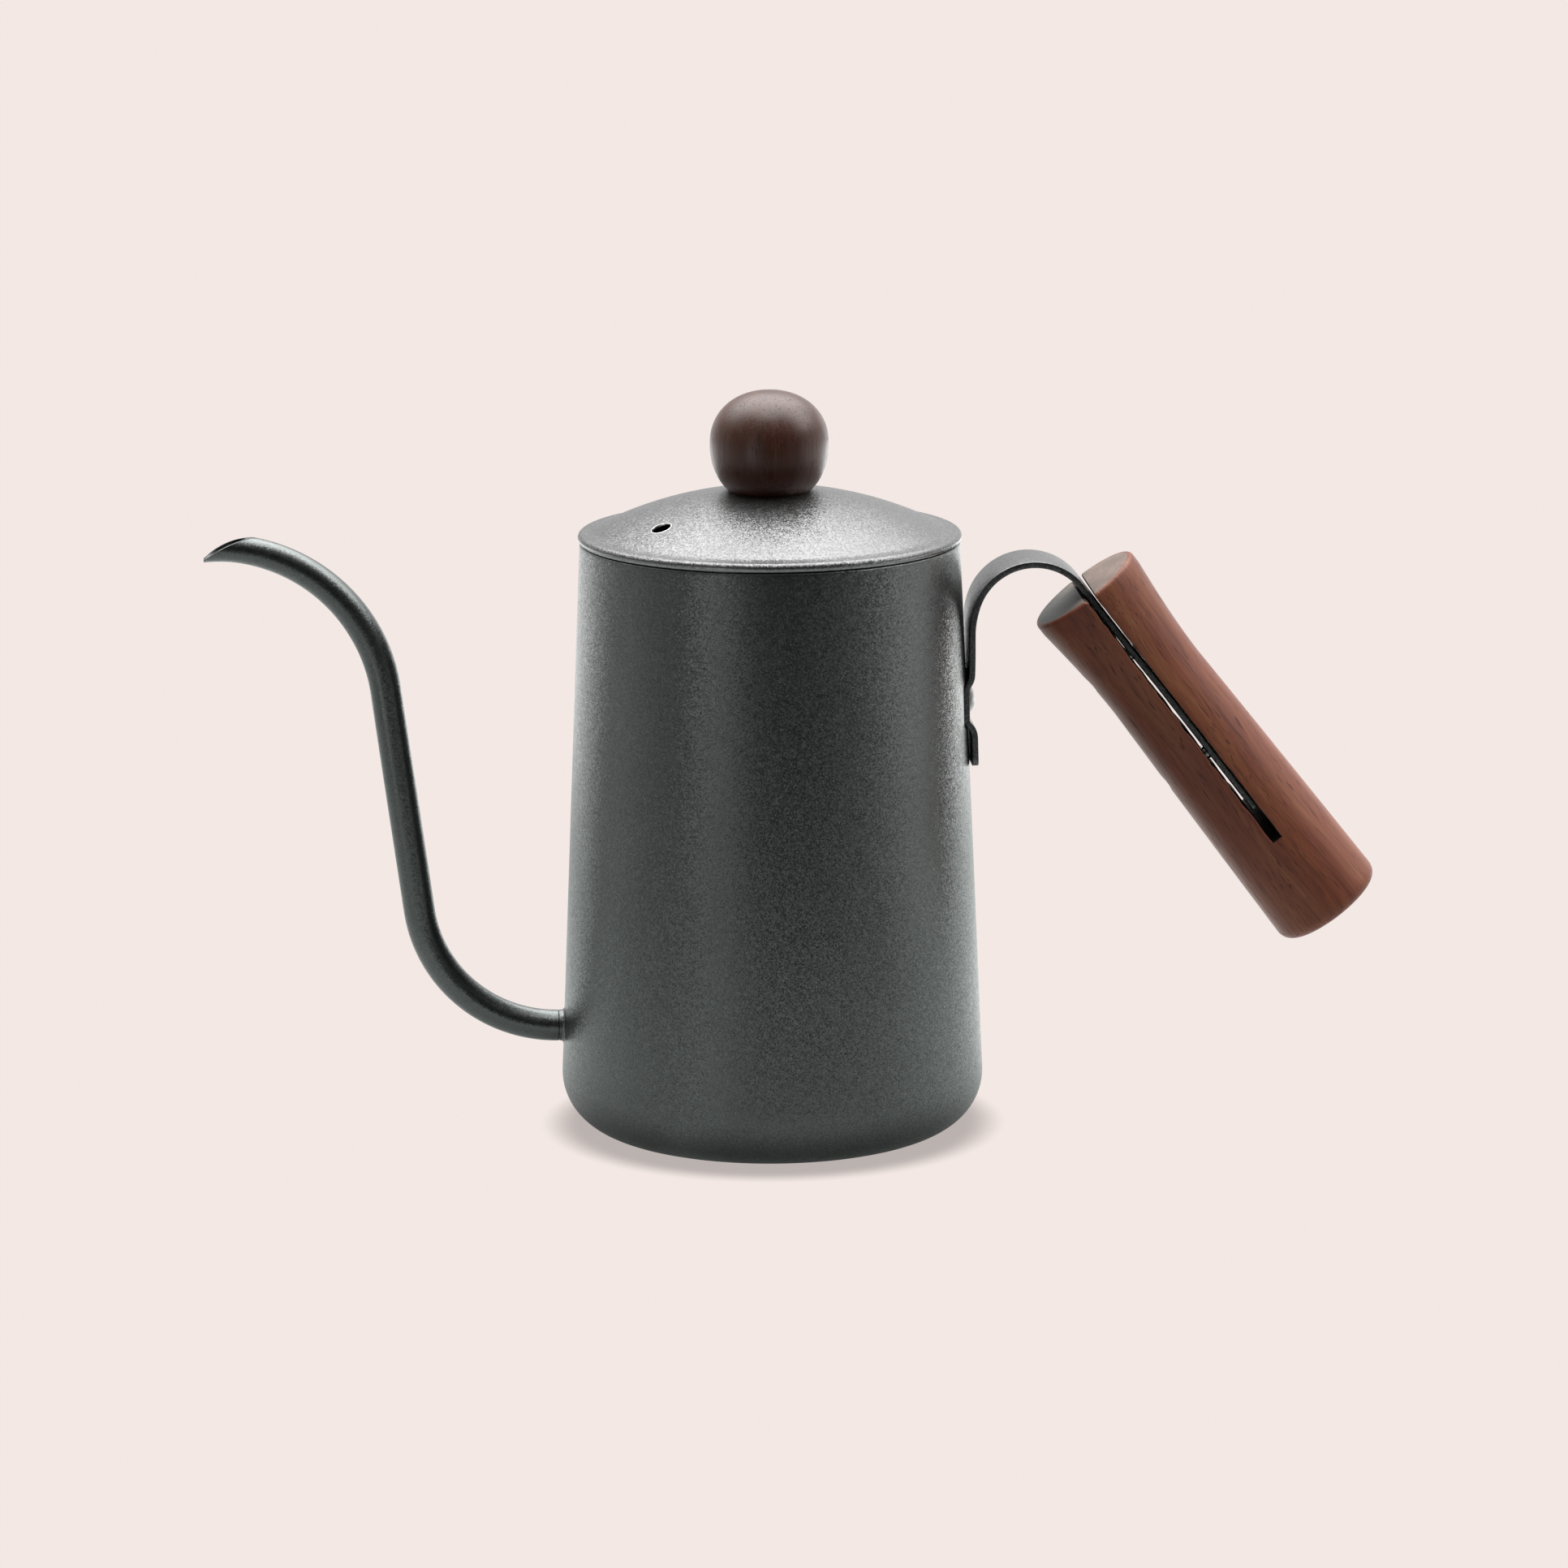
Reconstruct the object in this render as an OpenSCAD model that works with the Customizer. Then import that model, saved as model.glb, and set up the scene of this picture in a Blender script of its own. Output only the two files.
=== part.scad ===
// Gooseneck pour-over kettle: tapered steel body, thin bent spout,
// flat strap handle with a turned wooden grip, domed lid with a wooden knob.
// Frame: origin on the table under the body axis, +Z up, spout toward -X,
// handle toward +X. All lengths in millimetres.

/* [Body] */
// height of the rim above the table
body_h = 130; // [126:0.5:134]
// outside radius of the body at the rim
rim_r = 41.25; // [40.5:0.05:42]
// how much the radius grows for each millimetre below the rim
taper = 0.0425; // [0.038:0.0005:0.046]
// radius of the rounded bottom corner
corner_r = 12; // [9:0.5:15]
// sheet thickness of the body
wall = 0.8; // [0.6:0.1:1]
// depth of the dish pressed up in the middle of the base
dish_d = 0.8; // [0.4:0.1:1.5]
// radius of that dish
dish_r = 28; // [20:1:31]

/* [Spout] */
// height of the spout root above the table
spout_z = 22.8; // [20:0.2:26]
// outside diameter of the spout tube
spout_od = 6.8; // [6.2:0.1:7.4]
// wall thickness of the spout tube
spout_wall = 0.6; // [0.5:0.1:0.8]
// centreline radius of the lower bend
spout_r1 = 30.4; // [28:0.2:34]
// angle of the lower bend
spout_a1 = 82.5; // [80:0.5:85]
// length of the straight rise
spout_rise = 49.8; // [46:0.2:52]
// centreline radius of the upper bend
spout_r2 = 36; // [34:0.2:38]
// slope left at the end of the upper bend, below zero is past the level
spout_a2 = -5; // [-8:0.5:-4]

/* [Handle] */
// thickness of the handle strap
strap_t = 1.4; // [1.2:0.1:1.8]
// width of the handle strap
strap_w = 16; // [13:0.5:17]
// length of the wooden grip
grip_l = 91; // [86:0.5:96]
// radius of the grip near its upper end
grip_r1 = 13; // [12:0.1:14]
// radius of the grip at its waist
grip_r2 = 11.4; // [10.6:0.1:12]
// radius of the grip near its lower end
grip_r3 = 12.6; // [12:0.1:13.4]
// slope of the grip below the horizontal
grip_a = 52.55; // [50:0.5:55]
// width of the saw kerf that holds the strap
kerf_w = 2.2; // [2:0.1:2.6]
// length of the saw kerf
kerf_l = 68.5; // [66:0.5:72]

/* [Lid] */
// radius of the spherical lid dome
dome_r = 84; // [76:1:95]
// height of the dome centre above the rim
dome_h = 11.5; // [11:0.1:12.5]
// outside radius of the rolled lid edge
lid_r = 41.6; // [41.4:0.05:41.8]
// sheet thickness of the lid
lid_t = 0.8; // [0.6:0.1:1]
// gap between the lid edge and the rim
lid_gap = 0.3; // [0.25:0.05:0.4]
// depth of the skirt below the rim
skirt_d = 8.5; // [6:0.5:12]
// diameter of the steam vent
vent_d = 4.3; // [4.1:0.1:5]
// distance of the steam vent from the axis
vent_r = 29.8; // [27:0.2:31]
// angle of the vent from the spout side
vent_a = 35; // [30:1:40]

/* [Knob] */
// largest radius of the knob
knob_r = 12.9; // [12:0.1:14]
// height of the knob above the dome centre
knob_h = 21.3; // [19:0.1:23]

/* [Fasteners] */
// thread diameter of the handle screw and the knob screw
m4 = 4; // [3.8:0.1:4]
// shank diameter of the grip screws
ws = 3.4; // [3:0.1:3.6]

/* [Hidden] */
$fn = 96;
// part assembly

steel = [0.30, 0.31, 0.31];
bright = [0.78, 0.78, 0.77];
wood = [0.36, 0.22, 0.16];
brass = [0.75, 0.60, 0.30];

// radius of the outside cone at height z
function rad(z) = rim_r + (body_h - z) * taper;
tn = sqrt(1 + taper * taper);
big = 400;

// profile of the solid inside the cone, offset inwards by t, as one outline
// the corner arc is tangent to the cone and to the floor of the offset body
module barrel2d(t, top) {
    c = corner_r;
    cx = rad(c) - c * tn;
    ro = c - t;
    a1 = atan(taper);
    n = 24;
    polygon(concat([[0, t]],
                   [for (i = [0 : n]) let (a = -90 + (90 + a1) * i / n) [cx + ro * cos(a), c + ro * sin(a)]],
                   [[rad(top) - t * tn, top], [0, top]]));
}

// ---- body ----
pad_x = 41.45;         // outside face of the flat pad for the handle
bolt_z = 94.3;         // height of the handle screw
neck_x = 47.0;         // end of the drawn neck that takes the spout
sp_ro = spout_od / 2;
sp_ri = sp_ro - spout_wall;

module pad_cut(d, e) {
    rotate([90, 0, 0]) translate([0, 0, -14])
        linear_extrude(height = 28)
        polygon([[pad_x - d, 90.2 - e], [pad_x - d, 98.6 + e],
                 [42.56 - d, 99.9 + e], [46, 103.4 + e], [46, 84.2 - e], [43.02 - d, 88.4 - e]]);
}

module body_shell() {
    color(steel)
    difference() {
        union() {
            difference() {
                rotate_extrude() difference() {
                    barrel2d(0, body_h);
                    polygon([[-1, -1], [dish_r, -1], [dish_r - 1.6, dish_d], [-1, dish_d]]);
                }
                pad_cut(0, 0);
            }
            // drawn neck for the spout, with a small flare at its foot
            translate([0, 0, spout_z]) rotate([0, -90, 0]) {
                translate([0, 0, rad(spout_z) - 2.5]) cylinder(r = sp_ro, h = neck_x - rad(spout_z) + 2.5);
                translate([0, 0, rad(spout_z) - 2.5]) cylinder(r1 = sp_ro + 2.6, r2 = sp_ro + 0.02, h = 3.2);
            }
        }
        difference() {
            rotate_extrude() difference() {
                barrel2d(wall, body_h + 2);
                polygon([[-1, 0], [dish_r + 0.5, 0], [dish_r - 1.6 + 0.5, dish_d + wall], [-1, dish_d + wall]]);
            }
            pad_cut(wall, 0.5);
        }
        // spout inlet
        translate([0, 0, spout_z]) rotate([0, -90, 0])
            translate([0, 0, 38]) cylinder(r = sp_ri, h = 14);
        // clearance hole for the handle screw
        translate([36, 0, bolt_z]) rotate([0, 90, 0]) cylinder(d = m4 + 0.3, h = 12);
    }
}

// ---- spout ----
// foot of the straight rise, and the mouth at the end of the upper bend
p1 = [neck_x + spout_r1 * sin(spout_a1), spout_z + spout_r1 * (1 - cos(spout_a1))];
tip_c = [110.1, 114.5];   // centre of the curved cut at the mouth
tip_cr = 18;              // radius of that cut

module ring2d() { difference() { circle(r = sp_ro); circle(r = sp_ri); } }

// the tube in the frame of its straight rise: y along the rise, x toward the body
module spout_run() {
    rotate([-90, 0, 0]) linear_extrude(height = spout_rise) ring2d();
    translate([spout_r1, 0, 0]) rotate([0, 0, 180])
        rotate_extrude(angle = spout_a1) translate([spout_r1, 0]) ring2d();
    translate([-spout_r2, spout_rise, 0])
        rotate_extrude(angle = spout_a1 - spout_a2) translate([spout_r2, 0]) ring2d();
}

module spout_tube() {
    color(steel)
    difference() {
        translate([-p1[0], 0, p1[1]]) rotate([90, 0, 0]) rotate([0, 0, 90 - spout_a1])
            union() spout_run();
        // curved slant cut at the mouth
        rotate([90, 0, 0]) translate([0, 0, -6]) linear_extrude(height = 12)
            difference() {
                polygon([[-108, 122], [-108, 140], [-130, 140], [-130, 122]]);
                translate([-tip_c[0], tip_c[1]]) circle(r = tip_cr);
            }
    }
}

// ---- handle ----
sa = grip_a;
g_dir = [cos(sa), -sin(sa)];
g_nrm = [sin(sa), cos(sa)];
g_org = [68.3, 118.4];        // centre of the upper end face of the grip
strap_in = 61;                // length of strap inside the grip
cut_z1 = 18;                  // first grip screw, from the upper end
cut_z2 = 46;                  // second grip screw

// arch of the strap: two arcs between the upright run and the grip axis
arch_x = 43.4;
arch_z = 109.48;
arch_ra = 20.5;
arch_ta = 19.02;
arch_rb = 13.07;
function arc_pt(x, z, r, h, d) = [x + r * sin(h) - r * sin(h - d), z - r * cos(h) + r * cos(h - d)];
arch_m = arc_pt(arch_x, arch_z, arch_ra, 90, arch_ta);
arch_h = 90 - arch_ta;

// centreline: foot, jog onto the pad, jog back, upright run, arch, grip axis
cl = concat(
    [[44.12, 80.6], [43.96, 87.2], [43.8, 88.0], [43.32, 89.1], [42.64, 89.9], [42.17, 90.5],
     [42.17, 97.4], [42.35, 98.2], [42.78, 99.0], [43.2, 99.9], [43.33, 101.2], [arch_x, 105]],
    [for (i = [0 : 8]) arc_pt(arch_x, arch_z, arch_ra, 90, arch_ta * i / 8)],
    [for (i = [1 : 40]) arc_pt(arch_m[0], arch_m[1], arch_rb, arch_h, (arch_h + sa) * i / 40)],
    [g_org + g_dir * strap_in]);
n_cl = len(cl);
function unit(v) = v / norm(v);
function seg(i) = unit(cl[min(i + 1, n_cl - 1)] - cl[min(i, n_cl - 2)]);
function bis(i) = let (a = seg(max(i - 1, 0)), b = seg(i), m = unit(a + b)) [-m[1], m[0]] / (a * m);
function off(i, d) = cl[i] + bis(i) * d;

module strap2d() {
    polygon(concat([for (i = [0 : n_cl - 1]) off(i, strap_t / 2)],
                   [for (i = [n_cl - 1 : -1 : 0]) off(i, -strap_t / 2)]));
}

// place children in the grip frame: x along the grip, y across the strap
module in_grip() {
    translate([g_org[0], 0, g_org[1]]) rotate([0, sa, 0]) children();
}

module handle_strap() {
    color(steel)
    difference() {
        rotate([90, 0, 0]) translate([0, 0, -strap_w / 2]) linear_extrude(height = strap_w) strap2d();
        // rounded foot corners
        for (s = [-1, 1]) translate([40, s * strap_w / 2, 80.6]) rotate([0, 90, 0])
            linear_extrude(height = 8) difference() {
                square(3, center = true);
                translate([-1.5, -s * 1.5]) circle(r = 1.5);
                translate([-3, 0]) square([3, 6], center = true);
                translate([0, -s * 3]) square([6, 3], center = true);
            }
        // hole for the handle screw and for the two grip screws
        translate([38, 0, bolt_z]) rotate([0, 90, 0]) cylinder(d = m4 + 0.4, h = 9);
        for (l = [cut_z1, cut_z2]) in_grip() translate([l, 0, -3]) cylinder(d = ws + 0.4, h = 6);
    }
}

module handle_boss() {
    color(bright)
    translate([pad_x - wall, 0, bolt_z]) rotate([0, -90, 0])
    difference() {
        union() {
            cylinder(r = 4.5, h = 5.6);
            translate([0, 0, 5.6]) cylinder(r1 = 4.5, r2 = 3.7, h = 0.8);
        }
        translate([0, 0, -1]) cylinder(d = m4 + 0.1, h = 6);
    }
}

module handle_screw() {
    hx = 42.22 + strap_t / 2;
    hr = 3.75;
    hh = 1.8;
    cr = (hr * hr + hh * hh) / (2 * hh);
    color(bright)
    translate([hx, 0, bolt_z]) rotate([0, 90, 0])
    difference() {
        union() {
            rotate_extrude() intersection() {
                translate([0, hh - cr]) circle(r = cr);
                square([hr, hh]);
            }
            translate([0, 0, -6]) cylinder(d = m4, h = 6.01);
        }
        translate([0, 0, 0.6]) cylinder(d = 2.5 / cos(30), h = 3, $fn = 6);
    }
}

// grip radius at distance t from the upper end
function sm(u) = u * u * (3 - 2 * u);
function grip_rad(t) = t < 3 ? grip_r1 :
    t < 27 ? grip_r1 + (grip_r2 - grip_r1) * sin(90 * (t - 3) / 24) :
    grip_r2 + (grip_r3 - grip_r2) * pow((t - 27) / (grip_l - 33), 0.9);
e1 = 0.7;
e2 = 2.2;
function grip_pts() = concat(
    [[0, 0], [grip_r1 - e1, 0]],
    [for (i = [1 : 5]) [grip_r1 - e1 + e1 * sin(18 * i), e1 - e1 * cos(18 * i)]],
    [for (t = [3 : 2 : grip_l - 7]) [grip_rad(t), t]],
    [for (i = [0 : 6]) [grip_r3 - e2 + e2 * cos(15 * i), grip_l - e2 + e2 * sin(15 * i)]],
    [[0, grip_l]]);

module handle_grip() {
    color(wood)
    in_grip() difference() {
        rotate([0, 90, 0]) rotate_extrude() polygon(grip_pts());
        translate([-1, -20, -kerf_w / 2]) cube([kerf_l + 1, 40, kerf_w]);
        for (l = [cut_z1, cut_z2]) translate([l, 0, 0]) {
            translate([0, 0, -20]) cylinder(d = ws + 0.2, h = 20);
            translate([0, 0, -20]) cylinder(r = 2.3, h = 20 - 9.2);
            cylinder(d = ws - 0.5, h = 7.6);
        }
    }
}

module grip_screws() {
    color(bright)
    for (l = [cut_z1, cut_z2]) in_grip() translate([l, 0, 0]) difference() {
        union() {
            translate([0, 0, -9.2 - 1.3]) cylinder(r = 2.2, h = 1.3);
            translate([0, 0, -9.3]) cylinder(d = ws, h = 9.3 + 0.9);
            translate([0, 0, 0.8]) cylinder(d = ws - 0.6, h = 4.7);
            translate([0, 0, 5.4]) cylinder(r1 = ws / 2 - 0.3, r2 = 0.3, h = 1.8);
        }
        translate([-1.2, -0.3, -10.6]) cube([2.4, 0.6, 1]);
        translate([-0.3, -1.2, -10.6]) cube([0.6, 2.4, 1]);
    }
}

// ---- lid ----
dome_z = body_h + dome_h;
seat_z = body_h + lid_gap;
sk_r = 40;
sk_t = 0.8;
er = 1.05;
dome_e = 37.2;
function dz(r, t) = dome_z - dome_r + sqrt((dome_r - t) * (dome_r - t) - r * r);
bz = body_h + 2.05;
bc = [lid_r - er, bz - er];
edge_out = concat(
    [[38.0, dz(dome_e, 0) - 0.42], [38.8, bz + 0.18], [39.6, bz + 0.07]],
    [for (i = [0 : 8]) [bc[0] + er * sin(8 + 82 * i / 8), bc[1] + er * cos(8 + 82 * i / 8)]],
    [for (i = [1 : 4]) [bc[0] + er * cos(9.5 * i), bc[1] - er * sin(9.5 * i)]]);

module lid_shell() {
    color([0.55, 0.56, 0.55])
    difference() {
        rotate_extrude() polygon(concat(
            [for (i = [0 : 31]) [dome_e * i / 31, dz(dome_e * i / 31, 0)]],
            edge_out,
            [[bc[0] + er * cos(40), seat_z], [sk_r, seat_z], [sk_r, seat_z + 0.9], [sk_r - 1, seat_z + 0.9], [38.2, bz - 0.5]],
            [for (i = [31 : -1 : 0]) [37.0 * i / 31, dz(37.0 * i / 31, lid_t)]]));
        // steam vent, punched square to the dome
        rotate([0, 0, 180 + vent_a]) translate([0, 0, dome_z - dome_r])
            rotate([0, asin(vent_r / dome_r), 0])
            translate([0, 0, dome_r - 5]) cylinder(d = vent_d, h = 10);
        translate([0, 0, 130]) cylinder(d = m4 + 0.4, h = 20);
    }
}

module lid_skirt() {
    color([0.55, 0.56, 0.55])
    rotate_extrude() polygon([[sk_r, seat_z + 0.9], [sk_r, body_h - skirt_d + 0.6], [sk_r - 0.5, body_h - skirt_d],
        [sk_r - sk_t - 0.5, body_h - skirt_d], [sk_r - sk_t, body_h - skirt_d + 0.6], [sk_r - sk_t, seat_z + 0.9]]);
}

kc = dome_z + 9.7;                 // height of the widest ring of the knob
kt = dome_z + knob_h - kc;         // rise above it
kb = 13.4;                         // fall below it, cut off at the dome
kn = 2.15;
function kr(u) = knob_r * pow(max(0, 1 - pow(abs(u), kn)), 1 / kn);
kf = 0.765;

module lid_knob() {
    color(wood)
    difference() {
        rotate_extrude() polygon(concat(
            [[0, dome_z - 1.4]],
            [for (i = [0 : 12]) let (u = -kf + kf * i / 12) [kr(u), kc + kb * u]],
            [for (i = [1 : 22]) let (a = 90 * i / 22) [kr(sin(a)), kc + kt * sin(a)]]));
        // hollow base that sits on the dome
        translate([0, 0, dome_z - dome_r]) sphere(r = dome_r);
        translate([0, 0, dome_z - 3]) cylinder(d = m4 + 0.6, h = 14);
        translate([0, 0, dome_z + 1]) cylinder(d = 6.02, h = 8.6);
    }
}

module knob_insert() {
    color(brass)
    translate([0, 0, dome_z + 1.2]) difference() {
        cylinder(d = 6, h = 8);
        translate([0, 0, -1]) cylinder(d = m4 + 0.06, h = 10);
    }
}

module knob_washer() {
    color(bright)
    translate([0, 0, dome_z - lid_t - 1.2]) difference() {
        cylinder(d = 10, h = 1);
        translate([0, 0, -1]) cylinder(d = m4 + 0.3, h = 3);
    }
}

module knob_screw() {
    z0 = dome_z - lid_t - 1.2;
    color(bright)
    difference() {
        union() {
            translate([0, 0, z0 - 2.2]) cylinder(r = 4, h = 2.2);
            translate([0, 0, z0 - 2.8]) cylinder(r1 = 3, r2 = 4, h = 0.6);
            translate([0, 0, z0 - 0.01]) cylinder(d = m4, h = 11);
        }
        translate([-2.2, -0.45, z0 - 3]) cube([4.4, 0.9, 1.5]);
        translate([-0.45, -2.2, z0 - 3]) cube([0.9, 4.4, 1.5]);
    }
}

body_shell();
spout_tube();
handle_boss();
handle_strap();
handle_screw();
handle_grip();
grip_screws();
lid_shell();
lid_skirt();
lid_knob();
knob_screw();
knob_washer();
knob_insert();
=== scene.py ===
import bpy, bmesh, math
import numpy as np
from mathutils import Vector, Matrix


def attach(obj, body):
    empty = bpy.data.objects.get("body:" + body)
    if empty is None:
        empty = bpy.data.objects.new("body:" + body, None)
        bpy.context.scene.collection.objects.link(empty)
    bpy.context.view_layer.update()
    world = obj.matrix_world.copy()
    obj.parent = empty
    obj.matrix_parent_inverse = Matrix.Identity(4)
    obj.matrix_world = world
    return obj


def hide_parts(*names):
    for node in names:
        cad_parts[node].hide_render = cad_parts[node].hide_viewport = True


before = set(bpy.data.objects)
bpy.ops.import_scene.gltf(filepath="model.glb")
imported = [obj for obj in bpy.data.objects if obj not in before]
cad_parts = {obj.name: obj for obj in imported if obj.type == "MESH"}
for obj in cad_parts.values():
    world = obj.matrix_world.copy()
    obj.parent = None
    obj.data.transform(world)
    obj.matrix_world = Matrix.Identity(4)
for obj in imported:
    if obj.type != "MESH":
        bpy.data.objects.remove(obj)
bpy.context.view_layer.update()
scene = bpy.context.scene
scene.view_settings.view_transform = "Standard"
scene.view_settings.look = "None"
MM = 0.001
PI = math.pi


# ------------------------------------------------------------------ helpers
def lin(*c):
    """display values 0..255 to linear light"""
    out = []
    for v in c:
        v = v / 255.0
        out.append(v / 12.92 if v <= 0.04045 else ((v + 0.055) / 1.055) ** 2.4)
    return tuple(out) + (1.0,)


def smooth_shade(me, angle):
    me.polygons.foreach_set("use_smooth", [True] * len(me.polygons))
    me.set_sharp_from_angle(angle=math.radians(angle))
    me.update()


def make(name, verts, faces, angle=34.0, mats=(), midx=None, recalc=True):
    """A mesh object from points in millimetres."""
    me = bpy.data.meshes.new(name)
    me.from_pydata([(float(p[0]) * MM, float(p[1]) * MM, float(p[2]) * MM) for p in verts], [], [tuple(f) for f in faces])
    me.update()
    if midx is not None:
        me.polygons.foreach_set("material_index", midx)
    if recalc:
        bm = bmesh.new()
        bm.from_mesh(me)
        bmesh.ops.recalc_face_normals(bm, faces=bm.faces)
        bm.to_mesh(me)
        bm.free()
    smooth_shade(me, angle)
    ob = bpy.data.objects.new(name, me)
    scene.collection.objects.link(ob)
    for m in mats:
        me.materials.append(m)
    return ob


def join(name, obs):
    """One object out of several, materials kept by slot order of the first."""
    bm = bmesh.new()
    for o in obs:
        bm.from_mesh(o.data)
    keep = obs[0]
    bm.to_mesh(keep.data)
    bm.free()
    for o in obs[1:]:
        bpy.data.objects.remove(o)
    keep.name = name
    keep.data.name = name
    return keep


def carve(ob, *cutters):
    """Boolean difference, applied, cutters removed."""
    for c in cutters:
        m = ob.modifiers.new("cut", "BOOLEAN")
        m.operation = "DIFFERENCE"
        m.solver = "EXACT"
        m.object = c
        bpy.context.view_layer.update()
        dg = bpy.context.evaluated_depsgraph_get()
        me = bpy.data.meshes.new_from_object(ob.evaluated_get(dg))
        ob.modifiers.clear()
        old = ob.data
        ob.data = me
        me.name = old.name
        bpy.data.meshes.remove(old)
        bpy.data.objects.remove(c)
    return ob


def shape_lathe(profile, thetas, closed=True, tag=None):
    """Points and faces of a turned shape. profile is a list of (r, z), or (r, z, slot)."""
    verts, rows, slots = [], [], []
    for p in profile:
        r, z = p[0], p[1]
        slots.append(p[2] if len(p) > 2 else 0)
        if r < 1e-6:
            rows.append([len(verts)])
            verts.append((0.0, 0.0, z))
        else:
            rows.append(list(range(len(verts), len(verts) + len(thetas))))
            verts += [(r * math.cos(t), r * math.sin(t), z) for t in thetas]
    faces, idx = [], []
    n = len(thetas)
    pairs = [(i, i + 1) for i in range(len(rows) - 1)]
    if closed and not (len(rows[0]) == 1 and len(rows[-1]) == 1):
        pairs.append((len(rows) - 1, 0))
    for ia, ib in pairs:
        a, b = rows[ia], rows[ib]
        if len(a) == 1 and len(b) == 1:
            continue
        for j in range(n):
            k = (j + 1) % n
            if len(a) == 1:
                faces.append((a[0], b[j], b[k]))
            elif len(b) == 1:
                faces.append((a[j], b[0], a[k]))
            else:
                faces.append((a[j], b[j], b[k], a[k]))
            idx.append(slots[ia])
    return verts, faces, idx


def even(n, start=0.0):
    return [start + 2 * PI * i / n for i in range(n)]


def rounded(pts, n=4):
    """pts is a list of (r, z, radius[, slot]); corners with a radius become short curves."""
    out = []
    m = len(pts)
    for i, p in enumerate(pts):
        rad = p[2]
        slot = p[3] if len(p) > 3 else 0
        if rad <= 0 or i == 0 or i == m - 1:
            out.append((p[0], p[1], slot))
            continue
        a = np.array(pts[i - 1][:2], float)
        b = np.array(p[:2], float)
        c = np.array(pts[i + 1][:2], float)
        la, lc = np.linalg.norm(a - b), np.linalg.norm(c - b)
        d = min(rad, la * 0.49, lc * 0.49)
        s, e = b + (a - b) / la * d, b + (c - b) / lc * d
        for j in range(n + 1):
            t = j / n
            q = (1 - t) ** 2 * s + 2 * t * (1 - t) * b + t * t * e
            out.append((q[0], q[1], slot))
    return out


def cylinder_between(name, p0, p1, r, n=64):
    """A closed cylinder for cutting, in millimetres."""
    p0, p1 = Vector(p0), Vector(p1)
    d = (p1 - p0).normalized()
    u = d.orthogonal().normalized()
    v = d.cross(u)
    verts, faces = [], []
    for p in (p0, p1):
        for i in range(n):
            a = 2 * PI * i / n
            verts.append(p + (u * math.cos(a) + v * math.sin(a)) * r)
    faces.append(tuple(range(n)))
    faces.append(tuple(range(2 * n - 1, n - 1, -1)))
    for i in range(n):
        k = (i + 1) % n
        faces.append((i, k, n + k, n + i))
    return make(name, verts, faces, angle=30)


# ------------------------------------------------------------------ materials
class Nodes:
    """Short helpers for building a node material."""

    def __init__(self, name):
        self.mat = bpy.data.materials.new(name)
        self.mat.use_nodes = True
        self.nt = self.mat.node_tree
        self.nt.nodes.clear()
        self.out = self.nt.nodes.new("ShaderNodeOutputMaterial")
        self.bsdf = self.nt.nodes.new("ShaderNodeBsdfPrincipled")
        self.nt.links.new(self.bsdf.outputs[0], self.out.inputs[0])

    def new(self, kind, **props):
        n = self.nt.nodes.new(kind)
        for k, v in props.items():
            setattr(n, k, v)
        return n

    def link(self, a, b):
        self.nt.links.new(a, b)

    def put(self, node, **vals):
        for k, v in vals.items():
            node.inputs[k.replace("_", " ")].default_value = v
        return node

    def coords(self):
        return self.new("ShaderNodeTexCoord").outputs["Object"]

    def scaled(self, vec, s):
        m = self.new("ShaderNodeVectorMath", operation="MULTIPLY")
        self.link(vec, m.inputs[0])
        m.inputs[1].default_value = s
        return m.outputs[0]

    def noise(self, vec, scale=1.0, detail=2.0, rough=0.5, distort=0.0, out="Fac"):
        n = self.new("ShaderNodeTexNoise")
        self.link(vec, n.inputs["Vector"])
        self.put(n, Scale=scale, Detail=detail, Roughness=rough, Distortion=distort)
        return n.outputs[out]

    def voronoi(self, vec, scale, out="Color"):
        n = self.new("ShaderNodeTexVoronoi")
        self.link(vec, n.inputs["Vector"])
        self.put(n, Scale=scale)
        return n.outputs[out]

    def remap(self, val, a, b, c, d, clamp=True, smooth=False):
        n = self.new("ShaderNodeMapRange")
        n.clamp = clamp
        if smooth:
            n.interpolation_type = "SMOOTHSTEP"
        self.link(val, n.inputs["Value"])
        for k, v in zip(("From Min", "From Max", "To Min", "To Max"), (a, b, c, d)):
            n.inputs[k].default_value = v
        return n.outputs[0]

    def math(self, op, a, b=None):
        n = self.new("ShaderNodeMath", operation=op)
        for i, x in enumerate((a, b)):
            if x is None:
                continue
            if isinstance(x, (int, float)):
                n.inputs[i].default_value = x
            else:
                self.link(x, n.inputs[i])
        return n.outputs[0]

    def ramp(self, val, stops, mode="LINEAR"):
        n = self.new("ShaderNodeValToRGB")
        n.color_ramp.interpolation = mode
        el = n.color_ramp.elements
        while len(el) > 1:
            el.remove(el[-1])
        el[0].position, el[0].color = stops[0]
        for p, c in stops[1:]:
            e = el.new(p)
            e.color = c
        self.link(val, n.inputs[0])
        return n.outputs[0]

    def mix(self, fac, a, b, mode="MIX"):
        n = self.new("ShaderNodeMix", data_type="RGBA", blend_type=mode)
        n.clamp_factor = True
        for sock, x in ((n.inputs[0], fac), (n.inputs[6], a), (n.inputs[7], b)):
            if isinstance(x, (int, float)):
                sock.default_value = x
            elif isinstance(x, tuple):
                sock.default_value = x
            else:
                self.link(x, sock)
        return n.outputs[2]

    def bump(self, height, distance, strength=1.0, normal=None):
        n = self.new("ShaderNodeBump")
        n.inputs["Distance"].default_value = distance
        n.inputs["Strength"].default_value = strength
        self.link(height, n.inputs["Height"])
        if normal is not None:
            self.link(normal, n.inputs["Normal"])
        return n.outputs[0]


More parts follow.
